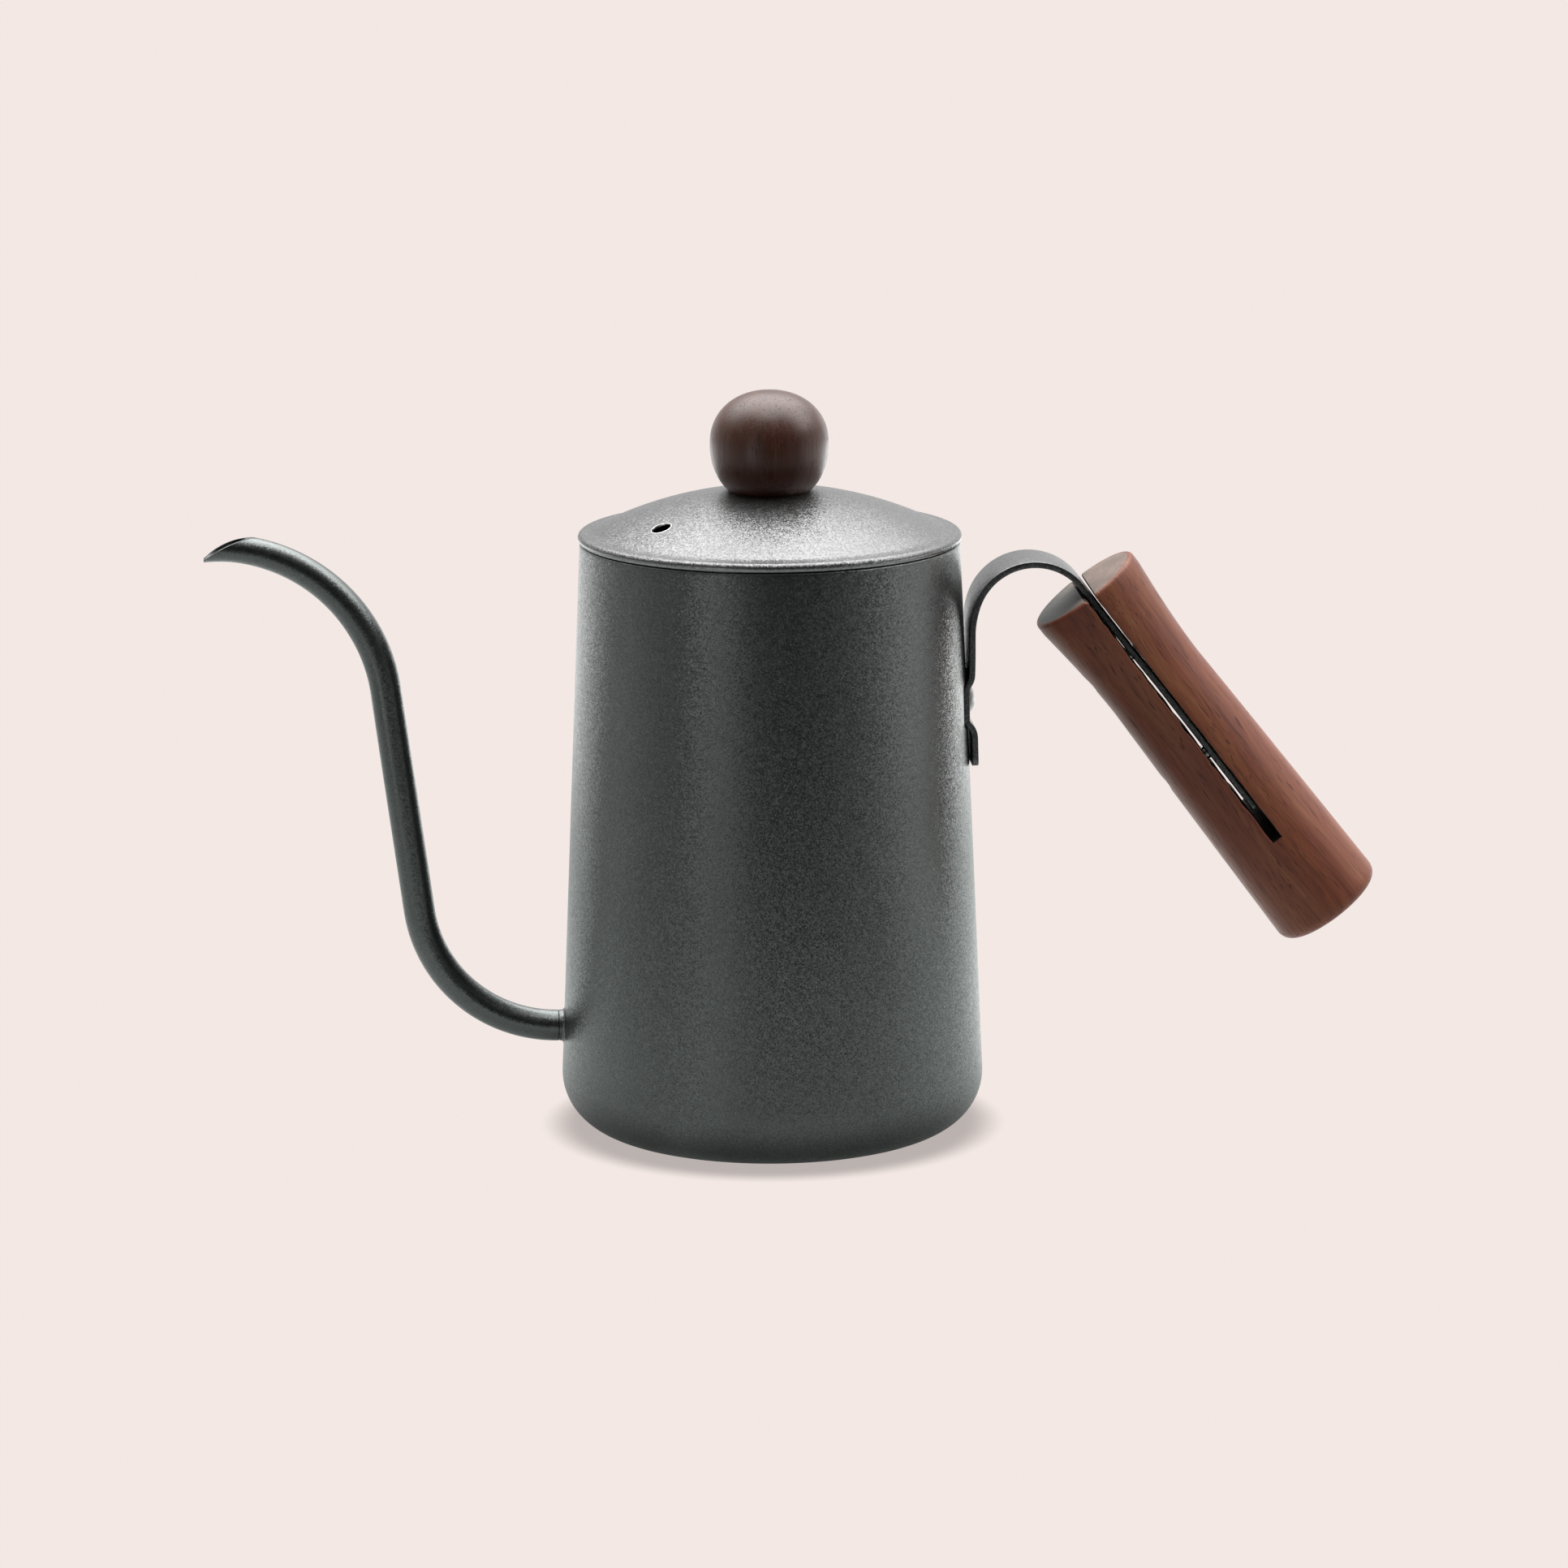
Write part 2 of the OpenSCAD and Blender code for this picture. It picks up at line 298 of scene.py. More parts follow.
def coated(name, base, rough, flake=0.11, cell=0.00025, tone=0.10):
    """Satin metallic coating: fine flakes that each tilt a little, a soft orange peel and a faint cloudiness."""
    k = Nodes(name)
    co = k.coords()
    cells = k.voronoi(co, 1.0 / cell)
    sub = k.new("ShaderNodeVectorMath", operation="SUBTRACT")
    k.link(cells, sub.inputs[0])
    sub.inputs[1].default_value = (0.5, 0.5, 0.5)
    tilt = k.new("ShaderNodeVectorMath", operation="SCALE")
    k.link(sub.outputs[0], tilt.inputs[0])
    tilt.inputs["Scale"].default_value = flake * 2
    peel = k.noise(co, scale=1300.0, detail=2.0, rough=0.55)
    geo = k.bump(peel, 0.000004)
    add = k.new("ShaderNodeVectorMath", operation="ADD")
    k.link(geo, add.inputs[0])
    k.link(tilt.outputs[0], add.inputs[1])
    nor = k.new("ShaderNodeVectorMath", operation="NORMALIZE")
    k.link(add.outputs[0], nor.inputs[0])
    k.link(nor.outputs[0], k.bsdf.inputs["Normal"])
    cloud = k.noise(co, scale=38.0, detail=2.0)
    sep = k.new("ShaderNodeSeparateColor")
    k.link(cells, sep.inputs[0])
    fl = k.remap(sep.outputs[0], 0.0, 1.0, 1.0 - tone * 2.4, 1.0 + tone * 2.4)
    cl = k.remap(cloud, 0.3, 0.7, 1.0 - tone * 0.5, 1.0 + tone * 0.5)
    amt = k.math("MULTIPLY", fl, cl)
    col = k.new("ShaderNodeVectorMath", operation="SCALE")
    col.inputs[0].default_value = base
    k.link(amt, col.inputs["Scale"])
    k.link(col.outputs[0], k.bsdf.inputs["Base Color"])
    r = k.remap(k.noise(co, scale=700.0, detail=1.0), 0.3, 0.7, rough - 0.03, rough + 0.03)
    k.link(r, k.bsdf.inputs["Roughness"])
    k.bsdf.inputs["Metallic"].default_value = 1.0
    return k.mat


def bare_steel(name, tone, rough, along="Z"):
    """Bare stainless sheet with a fine brushed grain round the axis or along it."""
    k = Nodes(name)
    co = k.coords()
    s = (260.0, 260.0, 5200.0) if along == "Z" else (5200.0, 260.0, 260.0)
    grain = k.noise(k.scaled(co, s), scale=1.0, detail=3.0, rough=0.6)
    cloud = k.noise(co, scale=60.0, detail=2.0)
    c = k.ramp(k.math("ADD", k.math("MULTIPLY", grain, 0.6), k.math("MULTIPLY", cloud, 0.4)),
               [(0.3, (tone * 0.86, tone * 0.86, tone * 0.85, 1)), (0.7, (tone * 1.08, tone * 1.08, tone * 1.06, 1))])
    k.link(c, k.bsdf.inputs["Base Color"])
    k.link(k.remap(grain, 0.3, 0.7, rough - 0.05, rough + 0.07), k.bsdf.inputs["Roughness"])
    k.link(k.bump(grain, 0.000006), k.bsdf.inputs["Normal"])
    k.bsdf.inputs["Metallic"].default_value = 1.0
    return k.mat


def walnut(name, place, angle_y, seed, end=False, dark=1.0, spec=0.34, gloss=0.0):
    """Oiled walnut. The grain runs along the local x axis set by place and a turn about Y."""
    k = Nodes(name)
    rot = k.new("ShaderNodeVectorRotate", rotation_type="AXIS_ANGLE")
    rot.inputs["Center"].default_value = tuple(v * MM for v in place)
    rot.inputs["Axis"].default_value = (0, 1, 0)
    rot.inputs["Angle"].default_value = -math.radians(angle_y)
    k.link(k.coords(), rot.inputs["Vector"])
    mv = k.new("ShaderNodeVectorMath", operation="SUBTRACT")
    k.link(rot.outputs[0], mv.inputs[0])
    mv.inputs[1].default_value = tuple(v * MM + seed * 0.013 for v in place)
    co = mv.outputs[0]
    # growth bands, wavy along the grain
    warp = k.noise(k.scaled(co, (16.0, 60.0, 60.0)), scale=1.0, detail=2.0, out="Color")
    wsub = k.new("ShaderNodeVectorMath", operation="SUBTRACT")
    k.link(warp, wsub.inputs[0])
    wsub.inputs[1].default_value = (0.5, 0.5, 0.5)
    wsc = k.new("ShaderNodeVectorMath", operation="SCALE")
    k.link(wsub.outputs[0], wsc.inputs[0])
    wsc.inputs["Scale"].default_value = 0.009
    wad = k.new("ShaderNodeVectorMath", operation="ADD")
    k.link(co, wad.inputs[0])
    k.link(wsc.outputs[0], wad.inputs[1])
    bands = k.noise(k.scaled(wad.outputs[0], (8.0, 150.0, 210.0)), scale=1.0, detail=4.0, rough=0.6)
    fine = k.noise(k.scaled(wad.outputs[0], (60.0, 1500.0, 1500.0)), scale=1.0, detail=3.0, rough=0.6)
    # open pores, short dark lines along the grain
    pore_n = k.noise(k.scaled(wad.outputs[0], (150.0, 2900.0, 2900.0)), scale=1.0, detail=1.0, rough=0.4)
    pores = k.remap(pore_n, 0.62, 0.72, 0.0, 1.0, smooth=True)
    streak_n = k.noise(k.scaled(wad.outputs[0], (34.0, 620.0, 620.0)), scale=1.0, detail=2.0)
    streaks = k.remap(streak_n, 0.58, 0.74, 0.0, 1.0, smooth=True)
    blotch = k.noise(k.scaled(co, (30.0, 70.0, 70.0)), scale=1.0, detail=2.0)
    tone = k.math("ADD", k.math("MULTIPLY", bands, 0.62), k.math("MULTIPLY", fine, 0.38))
    # with end set, the flat end face is painted lighter and pinker on its upper half and darker grey-green on its
    # lower half: painted light and shade
    if end:
        lower = k.ramp(tone, [(0.30, (0.036, 0.038, 0.035, 1)), (0.5, (0.062, 0.063, 0.057, 1)), (0.72, (0.110, 0.108, 0.096, 1))])
        upper = k.ramp(tone, [(0.30, (0.120, 0.082, 0.064, 1)), (0.5, (0.180, 0.126, 0.102, 1)), (0.72, (0.260, 0.192, 0.160, 1))])
        sp = k.new("ShaderNodeSeparateXYZ")
        k.link(co, sp.inputs[0])
        c = k.mix(k.remap(sp.outputs[2], -0.034, -0.020, 0.0, 1.0, smooth=True), lower, upper)
    else:
        c = k.ramp(tone, [(0.26, (0.105 * dark, 0.0300 * dark, 0.0190 * dark, 1)), (0.42, (0.170 * dark, 0.0500 * dark, 0.0290 * dark, 1)),
                          (0.56, (0.225 * dark, 0.0780 * dark, 0.0400 * dark, 1)), (0.74, (0.330 * dark, 0.1420 * dark, 0.0740 * dark, 1))])
    c = k.mix(k.math("MULTIPLY", streaks, 0.38), c, (0.050 * dark, 0.0170 * dark, 0.012 * dark, 1))
    c = k.mix(k.math("MULTIPLY", pores, 0.55), c, (0.018, 0.0085, 0.0065, 1))
    c = k.mix(k.remap(blotch, 0.35, 0.65, 0.0, 0.35), c, k.mix(1.0, c, (1.32, 1.20, 1.10, 1), "MULTIPLY"))
    k.link(c, k.bsdf.inputs["Base Color"])
    rough = k.math("ADD", k.remap(fine, 0.3, 0.7, 0.40 - gloss, 0.50 - gloss), k.math("MULTIPLY", pores, 0.22))
    k.link(rough, k.bsdf.inputs["Roughness"])
    h = k.math("SUBTRACT", k.math("MULTIPLY", fine, 0.35), pores)
    k.link(k.bump(h, 0.00004, 0.55), k.bsdf.inputs["Normal"])
    k.bsdf.inputs["Specular IOR Level"].default_value = spec
    return k.mat


M_BODY = coated("coat_body", (0.148, 0.157, 0.154), 0.335)
M_LID = coated("coat_lid", (0.162, 0.162, 0.162), 0.36, flake=0.15, tone=0.13)
# brighter coat for the underside of the lid's rolled bead: a painted highlight along the edge, partly a polished,
# worn edge
M_RIM_HIGHLIGHT = coated("coat_rim_painted_highlight", (0.27, 0.275, 0.272), 0.30, flake=0.10)
M_STRAP = coated("coat_strap", (0.150, 0.153, 0.150), 0.34, flake=0.09)
M_SPOUT = coated("coat_spout", (0.140, 0.150, 0.147), 0.30, flake=0.06, tone=0.06)
M_INNER = bare_steel("inner_steel", 0.55, 0.30)
M_BRIGHT = bare_steel("bright_steel", 0.72, 0.20)
M_SCREW = bare_steel("screw_steel", 0.34, 0.34)
M_EDGE = bare_steel("cut_edge_steel", 0.80, 0.24)
GRIP_A = 52.55
GRIP_O = (68.3, 0.0, 118.4)
M_GRIP = walnut("walnut_grip", GRIP_O, GRIP_A, 1.0, dark=1.05, spec=0.30)
# end faces of the grip: walnut end grain with painted light, lighter above and darker below
M_END = walnut("walnut_end_grain_painted_light", GRIP_O, GRIP_A, 2.0, end=True)
M_KNOB = walnut("walnut_knob", (0.0, 0.0, 150.0), 90.0, 3.0, dark=0.34, spec=0.60, gloss=0.12)


def brass_mat():
    k = Nodes("turned_brass")
    co = k.coords()
    g = k.noise(k.scaled(co, (300.0, 300.0, 6000.0)), scale=1.0, detail=2.0)
    k.link(k.ramp(g, [(0.3, (0.55, 0.38, 0.13, 1)), (0.7, (0.74, 0.54, 0.22, 1))]), k.bsdf.inputs["Base Color"])
    k.link(k.remap(g, 0.3, 0.7, 0.22, 0.34), k.bsdf.inputs["Roughness"])
    k.bsdf.inputs["Metallic"].default_value = 1.0
    return k.mat


M_BRASS = brass_mat()


def kerf_shade_walnut_mat():
    """Inside of the saw cut: rough walnut painted near black, a painted shade for the shadow inside the narrow kerf.
    """
    k = Nodes("sawn_walnut_painted_shade")
    co = k.coords()
    g = k.noise(co, scale=1800.0, detail=2.0)
    k.link(k.ramp(g, [(0.3, (0.010, 0.007, 0.006, 1)), (0.7, (0.030, 0.017, 0.012, 1))]), k.bsdf.inputs["Base Color"])
    k.bsdf.inputs["Roughness"].default_value = 0.8
    k.bsdf.inputs["Specular IOR Level"].default_value = 0.2
    return k.mat


M_KERF_SHADE = kerf_shade_walnut_mat()

# ------------------------------------------------------------------ body
H, RIM, TAPER, WALL, CR = 130.0, 41.25, 0.0425, 0.8, 12.0
TN = math.sqrt(1 + TAPER * TAPER)


def rad(z):
    return RIM + (H - z) * TAPER


CX = rad(CR) - CR * TN
PAD = [(84.2, 46.0), (88.4, 43.02), (90.2, 41.45), (98.6, 41.45), (99.9, 42.56), (103.4, 46.0)]


def smin(a, b, k):
    h = max(k - abs(a - b), 0.0) / k
    return min(a, b) - h * h * k * 0.25


def pad_x(z):
    if z <= PAD[0][0] or z >= PAD[-1][0]:
        return 60.0
    return float(np.interp(z, [p[0] for p in PAD], [p[1] for p in PAD]))


def corner(t, n, flip=False):
    """Points of the bottom corner arc of the wall's offset t."""
    ro = CR - t
    a1 = math.atan(TAPER)
    pts = []
    for i in range(n + 1):
        a = -PI / 2 + (PI / 2 + a1) * i / n
        pts.append((CX + ro * math.cos(a), CR + ro * math.sin(a)))
    return pts[::-1] if flip else pts


zs = [z for z in np.arange(15.0, 129.0, 3.0) if not 82 <= z <= 106] + list(np.arange(82.0, 106.01, 0.5))
zs = sorted(float(z) for z in zs)
outer = rounded([(0, 0.8, 0), (14, 0.8, 0), (26.4, 0.8, 0.7), (28.0, 0.0, 0.7), (31, 0.0, 0)])
outer = [(r, z, 0) for r, z, s in outer]
outer += [(r, z, 0) for r, z in corner(0, 18)]
outer += [(rad(z), z, 0) for z in zs] + [(rad(129.2), 129.2, 0)]
for i in range(7):
    a = PI * i / 6
    outer.append((rad(H) - 0.4 * TN + 0.4 * math.cos(a), H - 0.4 + 0.4 * math.sin(a), 0 if i < 3 else 1))
inner = [(rad(129.2) - WALL * TN, 129.2, 1)] + [(rad(z) - WALL * TN, z, 1) for z in zs[::-1]]
inner += [(r, z, 1) for r, z in corner(WALL, 14, True)]
inner += [(31, 0.8, 1), (27.9, 0.8, 1), (27.3, 1.1, 1), (26.7, 1.55, 1), (25.5, 1.6, 1), (14, 1.6, 1), (0, 1.6, 1)]
th = [math.radians(a) for a in np.arange(-20, 20.01, 0.5)] + [math.radians(a) for a in np.arange(22, 339.9, 2.0)]
verts, faces, idx = shape_lathe(outer + inner, th)
out_v = []
for x, y, z in verts:
    r = math.hypot(x, y)
    if x > 30 and 80 < z < 108 and abs(y) < 15:
        if r > rad(z) - 0.3:
            x = smin(x, pad_x(z), 0.7)
        elif r > rad(z) - 1.4:
            x = smin(x, pad_x(z) - WALL, 0.7)
    out_v.append((x, y, z))
body = make("body_shell_v", out_v, faces, angle=40, mats=(M_BODY, M_INNER), midx=idx)
SZ, SR, SI = 22.8, 3.4, 2.8
NX = 47.0
body = carve(body, cylinder_between("c1", (-52, 0, SZ), (-36, 0, SZ), SI))

# drawn neck of the body, with a small fillet on the wall
nv, nf, ni = [], [], []
F = 0.75
PS = 72
rows = []


def wall_x(y, z, off=0.0):
    return -math.sqrt((rad(z) - off) ** 2 - y * y)


def neck_row(rho, fx):
    row = []
    for j in range(PS):
        a = 2 * PI * j / PS
        y, z = rho * math.cos(a), SZ + rho * math.sin(a)
        row.append(len(nv))
        nv.append((fx(y, z), y, z))
    rows.append(row)


for i in range(9):
    a = PI / 2 * i / 8
    rho = SR + F * (1 - math.sin(a))
    hgt = F * (1 - math.cos(a))
    neck_row(rho, lambda y, z, h=hgt: wall_x(y, z) - h + (0.012 if h < 1e-6 else 0))
neck_row(SR, lambda y, z: -NX + 0.30)
neck_row(SR, lambda y, z: -NX + 0.14)
neck_row(SR - 0.14, lambda y, z: -NX)
neck_row(SI, lambda y, z: -NX)
neck_row(SI, lambda y, z: wall_x(y, z, WALL * 1.02))
neck_row(SR + F, lambda y, z: wall_x(y, z, 0.5))
for a, b in list(zip(rows, rows[1:])) + [(rows[-1], rows[0])]:
    for j in range(PS):
        k = (j + 1) % PS
        nf.append((a[j], b[j], b[k], a[k]))
neck = make("neck", nv, nf, angle=40, mats=(M_BODY,))
body = join("body_shell_v", [body, neck])
smooth_shade(body.data, 40)
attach(body, "pot")
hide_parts("body_shell")

# ------------------------------------------------------------------ spout
A1, R1, RISE, R2, A2 = math.radians(82.5), 30.4, 49.8, 36.0, math.radians(-5)
P1 = (-(NX + R1 * math.sin(A1)), SZ + R1 * (1 - math.cos(A1)))
P2 = (P1[0] - math.cos(A1) * RISE, P1[1] + math.sin(A1) * RISE)
C2 = (P2[0] - R2 * math.sin(A1), P2[1] - R2 * math.cos(A1))
CUT, CUTR = (-110.1, 114.5), 18.0


def spine(s):
    """(x, z, slope) at distance s along the spout's centreline."""
    l1 = R1 * A1
    if s <= l1:
        b = s / R1
        return (-NX - R1 * math.sin(b), SZ + R1 - R1 * math.cos(b), b)
    s -= l1
    if s <= RISE:
        return (P1[0] - math.cos(A1) * s, P1[1] + math.sin(A1) * s, A1)
    b = A1 - (s - RISE) / R2
    return (C2[0] + R2 * math.sin(b), C2[1] + R2 * math.cos(b), b)


S_TOTAL = R1 * A1 + RISE + R2 * (A1 - A2)


NARROW = 0.42


def tube_pt(s, psi, r):
    """A point of the tube. Its last part is drawn in a little from below."""
    x, z, b = spine(s)
    n = (math.sin(b), math.cos(b))
    d = NARROW * min(1.0, max(0.0, (s - S_TOTAL + 42.0) / 36.0)) ** 1.3
    q = (r - d) * math.cos(psi) + d
    return (x + q * n[0], (r - d) * math.sin(psi), z + q * n[1])


def outside_cut(p):
    return p[0] < -108 and math.hypot(p[0] - CUT[0], p[2] - CUT[1]) > CUTR


def mouth_s(psi, r):
    lo = S_TOTAL - 34
    prev = lo
    s = lo
    while s < S_TOTAL:
        if outside_cut(tube_pt(s, psi, r)):
            a, b = prev, s
            for _ in range(30):
                m = (a + b) / 2
                if outside_cut(tube_pt(m, psi, r)):
                    b = m
                else:
                    a = m
            return a
        prev = s
        s += 0.25
    return S_TOTAL


NP = 96
S_BEND = S_TOTAL - 30.0
ss = [0.0, 0.14, 0.30] + list(np.arange(1.2, S_BEND - 0.5, 1.1))
psis = even(NP)
sv, sf = [], []
rings = []
ends_o = [mouth_s(p, SR) for p in psis]
ends_i = [mouth_s(p, SI) for p in psis]


def ring(pts):
    rings.append(list(range(len(sv), len(sv) + NP)))
    sv.extend(pts)


for i, s in enumerate(ss):
    ring([tube_pt(s, p, SR - 0.14 if i == 0 else SR) for p in psis])
NL = 34
EDGE = 0.10
for i in range(NL + 1):
    u = i / NL
    ring([tube_pt(S_BEND + (e - EDGE - S_BEND) * u, p, SR) for p, e in zip(psis, ends_o)])
ring([tube_pt(e - 0.02, p, SR - 0.05) for p, e in zip(psis, ends_o)])
ring([tube_pt(e - 0.02, p, SI + 0.05) for p, e in zip(psis, ends_i)])
for i in range(NL + 1):
    u = 1 - i / NL
    ring([tube_pt(S_BEND + (e - EDGE - S_BEND) * u, p, SI) for p, e in zip(psis, ends_i)])
for s in ss[::-1]:
    ring([tube_pt(s, p, SI) for p in psis])
fi = []
for n, (a, b) in enumerate(list(zip(rings, rings[1:])) + [(rings[-1], rings[0])]):
    for j in range(NP):
        k = (j + 1) % NP
        sf.append((a[j], b[j], b[k], a[k]))
        fi.append(1 if n > len(ss) + NL + 1 else 0)
# the spout's bore gets a coat about half as bright as the outside: painted shade inside the tube
M_BORE_SHADE = coated("coat_bore_painted_shade", (0.075, 0.078, 0.076), 0.42, flake=0.04)
spout = make("spout_tube_v", sv, sf, angle=40, mats=(M_SPOUT, M_BORE_SHADE), midx=fi)
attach(spout, "pot")
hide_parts("spout_tube")

# ------------------------------------------------------------------ handle strap
SA = math.radians(GRIP_A)
GD = np.array([math.cos(SA), -math.sin(SA)])
GN = np.array([math.sin(SA), math.cos(SA)])
GO = np.array([68.3, 118.4])


def arc_pt(x, z, r, h, d):
    return np.array([x + r * math.sin(h) - r * math.sin(h - d), z - r * math.cos(h) + r * math.cos(h - d)])


foot = [(44.12, 80.6), (44.02, 84.8), (43.95, 87.0), (43.80, 88.0), (43.36, 89.05), (42.68, 89.85), (42.25, 90.5), (42.17, 91.3),
        (42.17, 97.2), (42.35, 98.2), (42.76, 99.0), (43.16, 99.9), (43.33, 101.2), (43.4, 105.0), (43.4, 109.48)]
foot = [np.array(p, float) for p in foot]


def catmull(pts, per):
    out = []
    for i in range(len(pts) - 1):
        p0 = pts[max(i - 1, 0)]
        p1, p2 = pts[i], pts[i + 1]
        p3 = pts[min(i + 2, len(pts) - 1)]
        n = max(2, int(np.linalg.norm(p2 - p1) / per))
        for j in range(n):
            t = j / n
            out.append(0.5 * (2 * p1 + (p2 - p0) * t + (2 * p0 - 5 * p1 + 4 * p2 - p3) * t ** 2 + (3 * p1 - p0 - 3 * p2 + p3) * t ** 3))
    return out


line = catmull(foot, 0.3)
RA, TA, RB = 20.5, math.radians(19.02), 13.07
line += [arc_pt(43.4, 109.48, RA, PI / 2, TA * i / 16) for i in range(17)]
am = arc_pt(43.4, 109.48, RA, PI / 2, TA)
line += [arc_pt(am[0], am[1], RB, PI / 2 - TA, (PI / 2 - TA + SA) * i / 96) for i in range(1, 97)]
LIFT = 0.22
for t in np.arange(2.0, 61.01, 1.0):
    line.append(GO + GD * t + GN * (LIFT * min(1.0, max(0.0, t - 14.0) / 12.0) - 0.06 * min(1.0, t / 6.0)))
line = np.array(line)
seg = np.linalg.norm(np.diff(line, axis=0), axis=1)
keep = [0] + [i + 1 for i in range(len(seg)) if seg[i] > 1e-4]
line = line[keep]
dist = np.concatenate([[0], np.cumsum(np.linalg.norm(np.diff(line, axis=0), axis=1))])
tan = np.gradient(line, axis=0)
tan /= np.linalg.norm(tan, axis=1)[:, None]
nrm = np.stack([-tan[:, 1], tan[:, 0]], 1)
T2, W2, EC = 0.70, 8.0, 0.24


def strap_section(t2, w2, ec):
    pts = []
    for sx, sy, a0 in ((1, 1, 0), (-1, 1, 90), (-1, -1, 180), (1, -1, 270)):
        for i in range(5):
            a = math.radians(a0 + 90 * i / 4)
            pts.append((sx * (t2 - ec) + ec * math.cos(a), sy * (w2 - ec) + ec * math.sin(a)))
    return pts


hv, hrows = [], []
total = dist[-1]
stations = []
for i in range(len(line)):
    d = dist[i]
    w = W2
    if d < 1.5:
        w = W2 - 1.5 + math.sqrt(max(0.0, 1.5 ** 2 - (1.5 - d) ** 2))
    stations.append((line[i], nrm[i], w, T2))
first = stations[0]
stations = [(first[0], first[1], first[2] - 0.15, T2 - 0.20)] + [(line[0] + tan[0] * 0.2, nrm[0], W2 - 1.5 + 0.75, T2)] + stations[1:]
last = stations[-1]
stations = stations[:-1] + [(last[0] - np.array(GD) * 0.2, last[1], W2, T2), (last[0], last[1], W2 - 0.2, T2 - 0.2)]
for p, n, w, t2 in stations:
    row = []
    for a, b in strap_section(t2, w, min(EC, t2 * 0.6)):
        row.append(len(hv))
        hv.append((p[0] + n[0] * a, b, p[1] + n[1] * a))
    hrows.append(row)
hf = []
ns = len(hrows[0])
for a, b in zip(hrows, hrows[1:]):
    for j in range(ns):
        k = (j + 1) % ns
        hf.append((a[j], b[j], b[k], a[k]))
hf.append(tuple(hrows[0]))
hf.append(tuple(hrows[-1][::-1]))
strap = make("handle_strap_v", hv, hf, angle=50, mats=(M_STRAP,))
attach(strap, "pot")
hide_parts("handle_strap")

# ------------------------------------------------------------------ handle grip
GL, G1, G2, G3 = 91.0, 13.0, 11.4, 12.6
E1, E2 = 0.9, 2.4


def grip_r(t):
    if t < 3:
        r = G1
    elif t < 27:
        r = G1 + (G2 - G1) * math.sin(PI / 2 * (t - 3) / 24)
    else:
        r = G2 + (G3 - G2) * ((t - 27) / (GL - 33)) ** 0.9
    if t < E1:
        r = min(r, G1 - E1 + math.sqrt(max(0.0, E1 ** 2 - (E1 - t) ** 2)))
    if t > GL - E2:
        r = min(r, G3 - E2 + math.sqrt(max(0.0, E2 ** 2 - (t - GL + E2) ** 2)))
    return r


K_UP, K_LO = 1.10, -1.25          # faces of the saw kerf
K_NEAR, K_FAR = 68.5, 62.6        # where the kerf ends on the two sides
RC = 0.32                         # worn edge of the kerf
NA, NC, NFl = 60, 4, 26


def half(r, face, up, rc):
    """Half section (y, n) above or below the kerf: an arc, a worn corner, the flat face and a worn corner."""
    s = 1 if up else -1
    f = face * s
    # corner centre inside the wood
    cy = math.sqrt(max(1e-6, (r - rc) ** 2 - (f + rc) ** 2))
    a0 = math.atan2(f + rc, cy)
    arc = []
    for i in range(NA + 1):
        a = a0 + (PI - 2 * a0) * i / NA
        arc.append((r * math.cos(a), s * r * math.sin(a)))
    corner_l = []
    for i in range(1, NC + 1):
        a = (PI - a0) + (PI * 1.5 - (PI - a0)) * i / NC
        corner_l.append((-cy + rc * math.cos(a), s * (f + rc + rc * math.sin(a))))
    flat = [(-cy + 2 * cy * i / NFl, s * f) for i in range(1, NFl)]
    corner_r = []
    for i in range(0, NC):
        a = -PI / 2 + (a0 + PI / 2) * i / NC
        corner_r.append((cy + rc * math.cos(a), s * (f + rc + rc * math.sin(a))))
    return arc, corner_l + flat + corner_r


def to_world(t, y, n):
    return (GO[0] + GD[0] * t + GN[0] * n, y, GO[1] + GD[1] * t + GN[1] * n)


rng = np.random.RandomState(7)
wob = rng.normal(0, 1, 400)
wob = np.convolve(wob, np.ones(2) / 2, "same")


def kerf_end(y):
    """The saw left the far side of the cut shorter than the near side."""
    return float(np.interp(y, [-5.0, 13.0], [K_NEAR, K_FAR]))


ts = [0.0, 0.06, 0.18, 0.36, 0.6, 0.9, 1.3, 1.9, 3.0] + list(np.arange(4.2, 67.6, 1.2)) + [K_NEAR]
gv, gf, gi = [], [], []


def add(p):
    gv.append(p)
    return len(gv) - 1


loops = {}
for up in (True, False):
    prev = None
    for it, t in enumerate(ts):
        r = grip_r(t)
        face = K_UP if up else K_LO + 0.22 * (1 - min(1.0, max(0.0, t - 15.0) / 10.0))
        # the faces open slightly at the end face, and the cut wanders a little
        open_ = 0.30 * (1 - min(1.0, t / 0.9)) ** 2
        jig = (0.05 if up else 0.13) * wob[it + (0 if up else 150)]
        fc = face + (open_ if up else -open_) + jig
        arc, rest = half(r, fc, up, RC)
        pts = arc + rest
        ids = []
        for y, n in pts:
            tt = t
            if abs(n) < abs(fc) + RC * 1.01 + 0.3 and t > K_FAR - 6:
                # squeeze the last rings of the kerf face towards the slanted end of the cut
                e = kerf_end(y)
                tt = (K_FAR - 6) + (t - (K_FAR - 6)) * (e - (K_FAR - 6)) / (K_NEAR - (K_FAR - 6))
            ids.append(add(to_world(tt, y, n)))
        if prev is not None:
            m = len(ids)
            for j in range(m):
                k = (j + 1) % m
                gf.append((prev[j], prev[k], ids[k], ids[j]))
                gi.append(2 if NA + NC - 1 <= j < NA + NC + NFl else 0)
        else:
            gf.append(tuple(ids))
            gi.append(1)
        prev = ids
    loops[up] = prev
# last kerf section to the plain round section
LU, LL = loops[True], loops[False]
nA = NA + 1
arcU, restU = LU[:nA], LU[nA:]
arcL, restL = LL[:nA], LL[nA:]
rE = grip_r(K_NEAR)


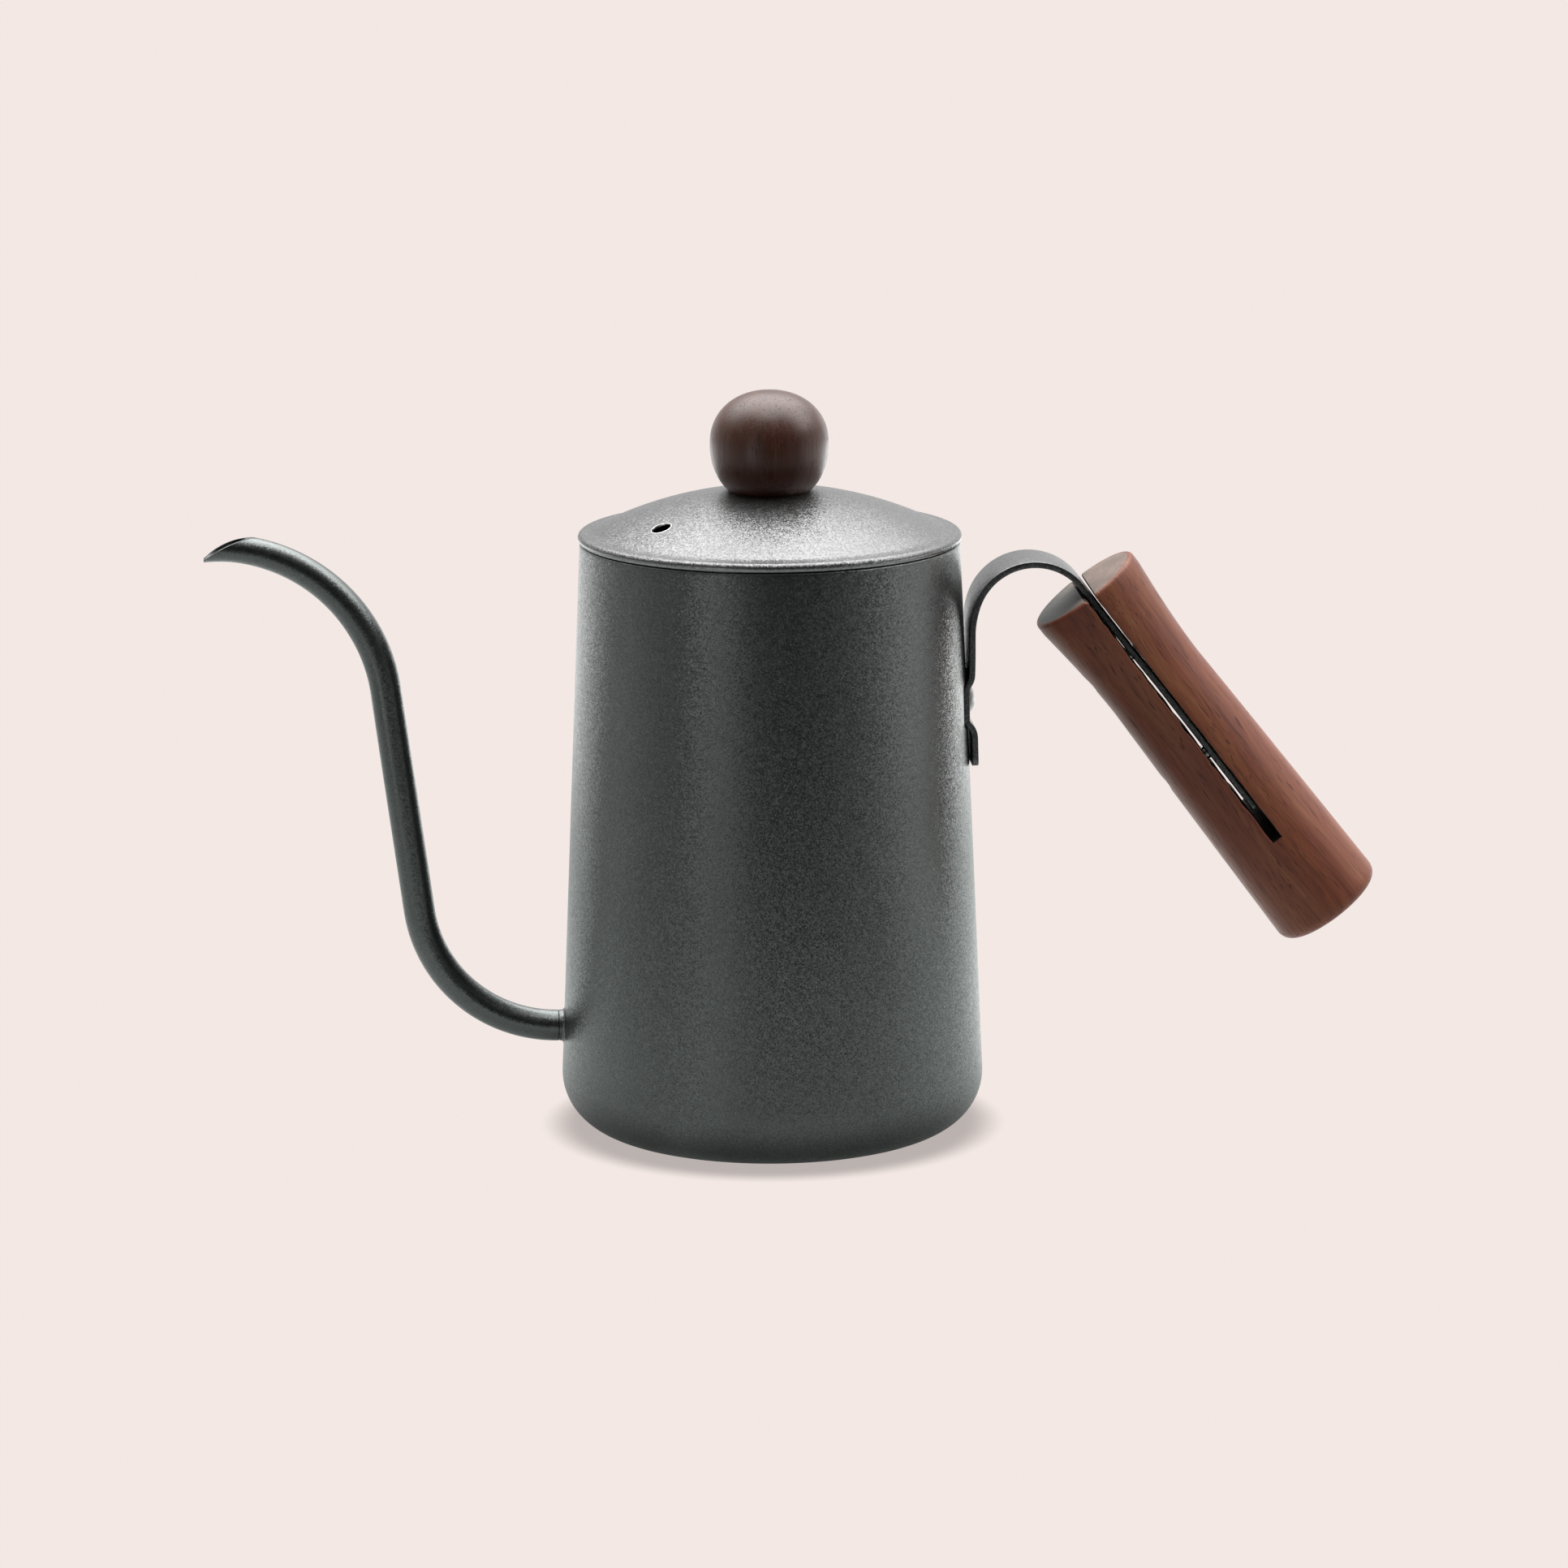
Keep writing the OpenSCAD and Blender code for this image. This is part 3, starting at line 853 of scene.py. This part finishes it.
def ang(up):
    f = (K_UP if up else -K_LO)
    return math.atan2(f + RC, math.sqrt((rE - RC) ** 2 - (f + RC) ** 2))


aU, aL = ang(True), ang(False)
NSIDE = 6


def side_ids(y_sign):
    """points of the outer surface across the end of the kerf, from the upper to the lower half"""
    ids = []
    for i in range(1, NSIDE):
        a = aU + (-aL - aU) * i / NSIDE
        y, n = rE * math.cos(a) * y_sign, rE * math.sin(a)
        ids.append(add(to_world(kerf_end(y), y, n)))
    return ids


sR = side_ids(1)     # y > 0
sL = side_ids(-1)    # y < 0
# end wall of the kerf
wallring = [arcU[0]] + sR + [arcL[0]] + restL[::-1] + [arcL[-1]] + sL[::-1] + [arcU[-1]] + restU
gf.append(tuple(wallring))
gi.append(2)
# round rings below the kerf
ring0 = arcU + sL + arcL[::-1] + sR[::-1]
angs = []
for i in range(nA):
    angs.append(aU + (PI - 2 * aU) * i / NA)
for i in range(1, NSIDE):
    a = aU + (-aL - aU) * i / NSIDE
    angs.append(PI - a)
for i in range(nA):
    angs.append(PI + aL + (PI - 2 * aL) * i / NA)
for i in range(NSIDE - 1, 0, -1):
    a = aU + (-aL - aU) * i / NSIDE
    angs.append(a)
prev = ring0
for t in [69.2, 70.4] + list(np.arange(72.0, 88.0, 1.4)) + [GL - E2 + E2 * math.sin(PI / 2 * i / 8) for i in range(0, 9)]:
    r = grip_r(t) if t < GL - 1e-6 else G3 - E2
    ids = [add(to_world(t, r * math.cos(a), r * math.sin(a))) for a in angs]
    for j in range(len(ids)):
        k = (j + 1) % len(ids)
        gf.append((prev[j], prev[k], ids[k], ids[j]))
        gi.append(0)
    prev = ids
gf.append(tuple(prev))
gi.append(1)
# the kerf faces and the kerf's end wall take the near-black painted shade
grip = make("handle_grip_v", gv, gf, angle=38, mats=(M_GRIP, M_END, M_KERF_SHADE), midx=gi)


def grip_point(t, n, y=0.0):
    return to_world(t, y, n)


for t in (18.0, 46.0):
    grip = carve(grip, cylinder_between("cb", grip_point(t, -20.0), grip_point(t, -9.25), 2.32, 40))
smooth_shade(grip.data, 38)
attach(grip, "pot")
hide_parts("handle_grip")

# ------------------------------------------------------------------ handle screw
HX, HR, HH = 42.90, 3.75, 1.8
cr = (HR * HR + HH * HH) / (2 * HH)
prof = [(0, HH)]
for i in range(1, 13):
    r = HR * i / 12 * 0.985
    prof.append((r, HH - cr + math.sqrt(cr * cr - r * r)))
prof += [(HR, 0.22), (HR + 0.0, 0.10), (HR - 0.10, 0.0), (2.0, 0.0), (2.0, -5.8), (1.7, -6.0), (0, -6.0)]
v, f, i_ = shape_lathe(prof, even(64))
v = [(HX + z, y, 94.3 + x) for x, y, z in v]
hscrew = make("handle_screw_v", v, f, angle=30, mats=(M_SCREW,))
hexr = 1.25 / math.cos(PI / 6)
hx = []
for xx in (HX + 0.6, HX + 3.0):
    for j in range(6):
        a = PI / 6 + j * PI / 3
        hx.append((xx, hexr * math.cos(a), 94.3 + hexr * math.sin(a)))
hexo = make("hexcut", hx, [(0, 1, 2, 3, 4, 5), (11, 10, 9, 8, 7, 6)] + [(j, (j + 1) % 6, 6 + (j + 1) % 6, 6 + j) for j in range(6)], angle=20)
hscrew = carve(hscrew, hexo)
smooth_shade(hscrew.data, 30)
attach(hscrew, "pot")
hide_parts("handle_screw")

# ------------------------------------------------------------------ lid
DR, DZ, DE = 84.0, 141.5, 37.2
ER, BZ, LR = 1.05, 132.05, 41.6
BC = (LR - ER, BZ - ER)


def dz(r, t=0.0):
    return DZ - DR + math.sqrt((DR - t) ** 2 - r * r)


lp = [(0, DZ, 0)] + [(DE * i / 40, dz(DE * i / 40), 0) for i in range(1, 41)]
lp += [(37.6, dz(DE) - 0.205, 0), (38.0, dz(DE) - 0.405, 0), (38.35, BZ + 0.27, 0), (38.8, BZ + 0.175, 0), (39.3, BZ + 0.10, 0), (39.8, BZ + 0.055, 0)]
# slot 2, the underside of the rolled bead, takes the brighter coat: a painted highlight
for i in range(0, 17):
    a = 6 + 84 * i / 16
    lp.append((BC[0] + ER * math.sin(math.radians(a)), BC[1] + ER * math.cos(math.radians(a)), 0 if a < 82 else 2))
for i in range(1, 6):
    a = 8 * i
    lp.append((BC[0] + ER * math.cos(math.radians(a)), BC[1] - ER * math.sin(math.radians(a)), 2))
lp += [(BC[0] + ER * math.cos(math.radians(42)) - 0.10, 130.30, 0), (40.35, 130.30, 1), (40.0, 130.34, 1), (39.95, 131.1, 1), (39.2, 131.25, 1), (38.4, BZ - 0.45, 1)]
lp += [(37.0 * i / 24, dz(37.0 * i / 24, 0.8), 1) for i in range(24, 0, -1)] + [(0, DZ - 0.8, 1)]
v, f, mi = shape_lathe(lp, even(240))
lid = make("lid_shell_v", v, f, angle=40, mats=(M_LID, M_INNER, M_RIM_HIGHLIGHT), midx=mi)
va = math.radians(215.0)
vt = math.asin(29.8 / DR)
vd = Vector((math.sin(vt) * math.cos(va), math.sin(vt) * math.sin(va), math.cos(vt)))
vc = Vector((0, 0, DZ - DR)) + vd * DR
VR = 2.15
lid = carve(lid, cylinder_between("vent", vc - vd * 4, vc + vd * 4, VR + 0.15, 64))
# cut edge of the vent, lightly rolled
vu = vd.orthogonal().normalized()
vw = vd.cross(vu)
ev, ef, er_rows = [], [], []
ring_prof = [(VR + 0.22, -0.03), (VR + 0.16, 0.012), (VR + 0.10, 0.018), (VR + 0.04, 0.004), (VR, -0.05), (VR, -0.74), (VR + 0.05, -0.82), (VR + 0.20, -0.84), (VR + 0.30, -0.72)]
for rr, hh in ring_prof:
    row = []
    for j in range(64):
        a = 2 * PI * j / 64
        dvec = vu * math.cos(a) + vw * math.sin(a)
        base = vc + dvec * rr
        # follow the dome
        rel = base - Vector((0, 0, DZ - DR))
        base = Vector((0, 0, DZ - DR)) + rel.normalized() * (DR + hh)
        row.append(len(ev))
        ev.append(tuple(base))
    er_rows.append(row)
for a, b in list(zip(er_rows, er_rows[1:])) + [(er_rows[-1], er_rows[0])]:
    for j in range(64):
        k = (j + 1) % 64
        ef.append((a[j], b[j], b[k], a[k]))
vent_ring = make("vent_ring", ev, ef, angle=50, mats=(M_EDGE,), midx=[3] * len(ef))
lid = join("lid_shell_v", [lid, vent_ring])
lid.data.materials.append(M_EDGE)
smooth_shade(lid.data, 40)
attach(lid, "lid")
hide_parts("lid_shell")

# skirt
sp = rounded([(40.0, 131.0, 0), (40.0, 122.1, 0.5), (39.5, 121.5, 0.25), (38.7, 121.5, 0.25), (39.2, 122.1, 0.5), (39.2, 131.0, 0)], 5)
v, f, mi = shape_lathe(sp, even(240))
skirt = make("lid_skirt_v", v, f, angle=40, mats=(M_INNER,))
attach(skirt, "lid")
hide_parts("lid_skirt")

# knob
KR, KN = 12.9, 2.15
KC, KTOP, KB, KF = DZ + 9.7, DZ + 21.3, 13.4, 0.765


def kr(u):
    return KR * max(0.0, 1 - abs(u) ** KN) ** (1 / KN)


kp = []
for i in range(0, 41):
    a = PI / 2 * i / 40
    u = math.sin(a)
    kp.append((kr(u) if i < 40 else 0.0, KC + (KTOP - KC) * u))
kp = kp[::-1]
for i in range(1, 31):
    u = KF * i / 30
    kp.append((kr(u), KC - KB * u))
rb = kr(KF)
zb = KC - KB * KF
kp += [(rb - 0.10, zb - 0.10), (rb - 0.35, dz(rb - 0.35) + 0.02), (rb * 0.7, dz(rb * 0.7) + 0.02), (4.0, dz(4.0) + 0.03), (2.3, dz(2.3) + 0.03), (2.3, DZ + 12.0), (0, DZ + 12.0)]
v, f, mi = shape_lathe(kp, even(160))
knob = make("lid_knob_v", v, f, angle=40, mats=(M_KNOB,))
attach(knob, "lid")
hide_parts("lid_knob")

# hardware that keeps its CAD shape
for name, mat in (("handle_boss", M_BRIGHT), ("grip_screws", M_BRIGHT), ("knob_screw", M_BRIGHT), ("knob_washer", M_BRIGHT), ("knob_insert", M_BRASS)):
    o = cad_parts[name]
    o.data.materials.clear()
    o.data.materials.append(mat)

# ------------------------------------------------------------------ stage
PINK = lin(243, 232, 228)


def stage_plane(name, r, z, mat, n=96):
    vv = [(0, 0, z)] + [(r * math.cos(a), r * math.sin(a), z) for a in even(n)]
    ff = [(0, 1 + j, 1 + (j + 1) % n) for j in range(n)]
    o = make(name, vv, ff, mats=(mat,), recalc=False)
    return o


k = Nodes("floor_pale")
k.nt.nodes.remove(k.bsdf)
em = k.new("ShaderNodeEmission")
# painted contact shadow: ambient occlusion darkens the floor's even glow near the kettle
ao = k.new("ShaderNodeAmbientOcclusion")
ao.samples = 12
ao.inputs["Distance"].default_value = 0.009
shade = k.remap(ao.outputs["AO"], 0.45, 0.95, 0.55, 1.0)
col = k.mix(1.0, PINK, shade, "MULTIPLY")
k.link(col, em.inputs[0])
k.link(em.outputs[0], k.out.inputs[0])
floor = stage_plane("floor", 9000.0, -0.02, k.mat)
floor.visible_glossy = False
floor.visible_diffuse = False
floor.visible_shadow = False
floor.visible_transmission = False

# what the kettle mirrors of the table, as a glow: painted shade right under the kettle's base, bright close by, dark
# further away
k = Nodes("table_bounce")
k.nt.nodes.remove(k.bsdf)
em = k.new("ShaderNodeEmission")
ln = k.new("ShaderNodeVectorMath", operation="LENGTH")
k.link(k.coords(), ln.inputs[0])
# the dim centre, out to about 55 mm, is painted shade under the kettle's base
prof_ = k.ramp(k.math("DIVIDE", ln.outputs["Value"], 0.5),
               [(0.0, (0.05, 0.05, 0.05, 1)), (0.085, (0.14, 0.145, 0.14, 1)), (0.11, (0.36, 0.375, 0.365, 1)), (0.24, (0.56, 0.58, 0.57, 1)),
                (0.45, (0.46, 0.48, 0.47, 1)), (0.8, (0.26, 0.28, 0.27, 1)), (1.0, (0.08, 0.085, 0.082, 1))])
sep_t = k.new("ShaderNodeSeparateXYZ")
k.link(k.coords(), sep_t.inputs[0])
phi_t = k.math("ADD", k.math("DIVIDE", k.math("ARCTAN2", sep_t.outputs[0], k.math("MULTIPLY", sep_t.outputs[1], -1.0)), 2 * PI), 0.5)
GT = [(-180, 2.4), (-144, 2.2), (-110, 1.75), (-75, 1.15), (-45, 1.0), (-34, 1.25), (-18, 1.0), (22, 0.95), (45, 1.0), (61, 1.1), (84, 1.6), (104, 2.0),
      (122, 2.6), (140, 3.2), (180, 2.4)]
gt = k.ramp(phi_t, [(0.5 + d / 360.0, (v_ * 0.2, v_ * 0.2, v_ * 0.2, 1)) for d, v_ in GT])
prof_ = k.mix(1.0, prof_, gt, "MULTIPLY")
em.inputs[1].default_value = 5.0
k.link(prof_, em.inputs[0])
tr = k.new("ShaderNodeBsdfTransparent")
ms = k.new("ShaderNodeMixShader")
k.link(k.remap(ln.outputs["Value"], 0.34, 0.5, 1.0, 0.0, smooth=True), ms.inputs[0])
k.link(tr.outputs[0], ms.inputs[1])
k.link(em.outputs[0], ms.inputs[2])
k.link(ms.outputs[0], k.out.inputs[0])
table = stage_plane("table_bounce", 500.0, -0.05, k.mat)
table.visible_camera = False
table.visible_shadow = False


# world: a pale backdrop to the eye, and a soft studio for everything that mirrors it
w = bpy.data.worlds.new("studio")
scene.world = w
w.use_nodes = True
nt = w.node_tree
nt.nodes.clear()


class W(Nodes):
    def __init__(self, tree):
        self.nt = tree


k = W(nt)
out = k.new("ShaderNodeOutputWorld")
tc = k.new("ShaderNodeTexCoord")
sep = k.new("ShaderNodeSeparateXYZ")
k.link(tc.outputs["Generated"], sep.inputs[0])
X, Y, Z = sep.outputs
phi = k.math("DIVIDE", k.math("ARCTAN2", X, k.math("MULTIPLY", Y, -1.0)), 2 * PI)
phi = k.math("ADD", phi, 0.5)                       # 0.5 is the camera's side, 0 and 1 straight behind
elev = k.math("MULTIPLY", k.math("ARCSINE", Z), 180 / PI)


def at(deg):
    return 0.5 + deg / 360.0


HZ = [(-180, 1.20), (-160, 1.40), (-146, 1.60), (-134, 1.05), (-120, 0.78), (-104, 0.60), (-80, 0.36), (-62, 0.22), (-49, 0.17),
      (-43, 0.95), (-31, 0.95), (-25, 0.10), (-12, 0.06), (8, 0.05), (24, 0.08), (42, 0.17), (60, 0.28), (74, 0.80), (92, 0.98),
      (106, 1.00), (122, 1.45), (136, 2.20), (150, 2.40), (164, 1.60), (180, 1.20)]
hz = k.ramp(phi, [(at(d), (v * 0.4, v * 0.4, v * 0.4, 1)) for d, v in HZ], "EASE")
hz = k.math("MULTIPLY", hz, 2.5)
low = k.remap(elev, -40.0, -4.0, 0.35, 1.0, smooth=True)
lift = k.remap(elev, -9.5, -4.8, 1.50, 0.66)
wide = k.remap(elev, 2.0, 30.0, 1.0, 0.45, smooth=True)
horizon = k.math("MULTIPLY", k.math("MULTIPLY", hz, low), k.math("MULTIPLY", lift, wide))
top = k.remap(elev, 16.0, 58.0, 0.0, 1.0, smooth=True)
behind = k.remap(k.math("COSINE", k.math("MULTIPLY", k.math("SUBTRACT", phi, 0.5), 2 * PI)), -0.9, 0.5, 1.0, 0.04, smooth=True)
zenith = k.remap(elev, 52.0, 82.0, 0.0, 0.85, smooth=True)
rear = k.math("MAXIMUM", behind, zenith)
overhead = k.math("MULTIPLY", k.math("MULTIPLY", top, rear), 5.0)
side = k.math("MULTIPLY", k.remap(phi, at(48), at(84), 0.0, 1.0, smooth=True), k.remap(phi, at(95), at(130), 1.0, 0.0, smooth=True))
side = k.math("MULTIPLY", side, k.math("MULTIPLY", k.remap(elev, 16.0, 32.0, 0.0, 1.0, smooth=True), k.remap(elev, 58.0, 76.0, 1.0, 0.0, smooth=True)))
light = k.math("ADD", k.math("ADD", horizon, overhead), k.math("MULTIPLY", side, 2.5))
bg = k.new("ShaderNodeBackground")
tint = k.mix(1.0, (1.0, 1.0, 1.0, 1.0), light, "MULTIPLY")
k.link(tint, bg.inputs[0])
eye = k.new("ShaderNodeBackground")
eye.inputs[0].default_value = PINK
lp_ = k.new("ShaderNodeLightPath")
mx = k.new("ShaderNodeMixShader")
k.link(lp_.outputs["Is Camera Ray"], mx.inputs[0])
k.link(bg.outputs[0], mx.inputs[1])
k.link(eye.outputs[0], mx.inputs[2])
k.link(mx.outputs[0], out.inputs[0])

# ------------------------------------------------------------------ camera
az, e, ro, D = math.radians(4.0), math.radians(12.041), math.radians(-0.261), 1.400
T = Vector((2.836 * math.cos(az), -2.836 * math.sin(az), 75.99)) * MM
back = Vector((-math.sin(az) * math.cos(e), -math.cos(az) * math.cos(e), math.sin(e)))
right = Vector((math.cos(az), -math.sin(az), 0))
fwd = -back
up = right.cross(fwd)
r2 = right * math.cos(ro) + up * math.sin(ro)
u2 = -right * math.sin(ro) + up * math.cos(ro)
cam = bpy.data.objects.new("camera", bpy.data.cameras.new("camera"))
scene.collection.objects.link(cam)
cam.data.sensor_width = 36.0
cam.data.lens = 7896.94 * 36.0 / 1932.0
m = Matrix.Identity(4)
for i in range(3):
    m[i][0], m[i][1], m[i][2], m[i][3] = r2[i], u2[i], back[i], (T + back * D)[i]
cam.matrix_world = m
cam.data.clip_start, cam.data.clip_end = 0.05, 50.0
scene.camera = cam
